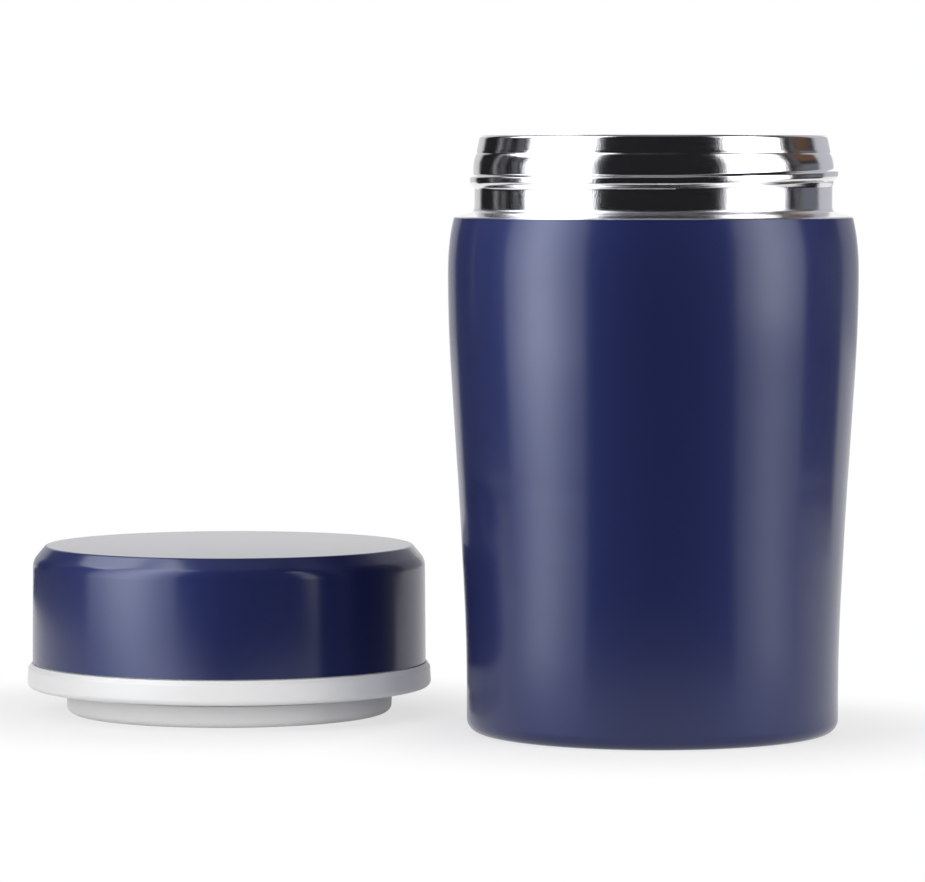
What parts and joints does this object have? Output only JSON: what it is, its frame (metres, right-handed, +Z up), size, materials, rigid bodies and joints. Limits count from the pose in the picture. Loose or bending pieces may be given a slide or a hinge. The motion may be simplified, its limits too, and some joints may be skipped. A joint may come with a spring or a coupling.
{
  "type": "insulated food jar",
  "caption": "Vacuum-insulated steel food jar with a softly flared painted body, polished threaded neck and a screw-on insulated lid standing beside it.",
  "frame": {"origin": "centre of the jar's base, on the surface that it stands on", "axes": "+Z up along the jar's axis, -Y towards the picture's camera; the lid stands at -X, slightly towards +Y"},
  "size_m": [0.1962, 0.138, 0.138],
  "materials": {
    "navy_paint": "satin",
    "polished_steel": "polished",
    "brushed_inside": "satin",
    "glass_bead": "gloss",
    "getter_metal": "matte",
    "white_plastic": "satin",
    "silicone": "matte",
    "foam": "matte"
  },
  "bodies": {
    "jar": {"body_shell": "navy_paint", "neck_ring": "polished_steel", "inner_liner": "brushed_inside", "liner_bottom": "brushed_inside", "getter": "getter_metal", "outer_bottom": "brushed_inside", "vacuum_seal": "glass_bead", "base_cover": "brushed_inside"},
    "lid_core": {"lid_foam": "foam"},
    "lid": {"lid_cover": "navy_paint", "lid_collar": "white_plastic", "plug_cup": "white_plastic", "seal_ring": "silicone"}
  },
  "joints": [
    {"name": "lid_lift", "type": "slide", "parent": "jar", "child": "lid_core", "axis": [0, 0, 1], "range_m": [0, 0.18]},
    {"name": "lid_turn", "type": "hinge", "parent": "lid_core", "child": "lid", "pos_m": [-0.1002, 0.042, 0.02], "axis": [0, 0, 1], "continuous": true}
  ]
}
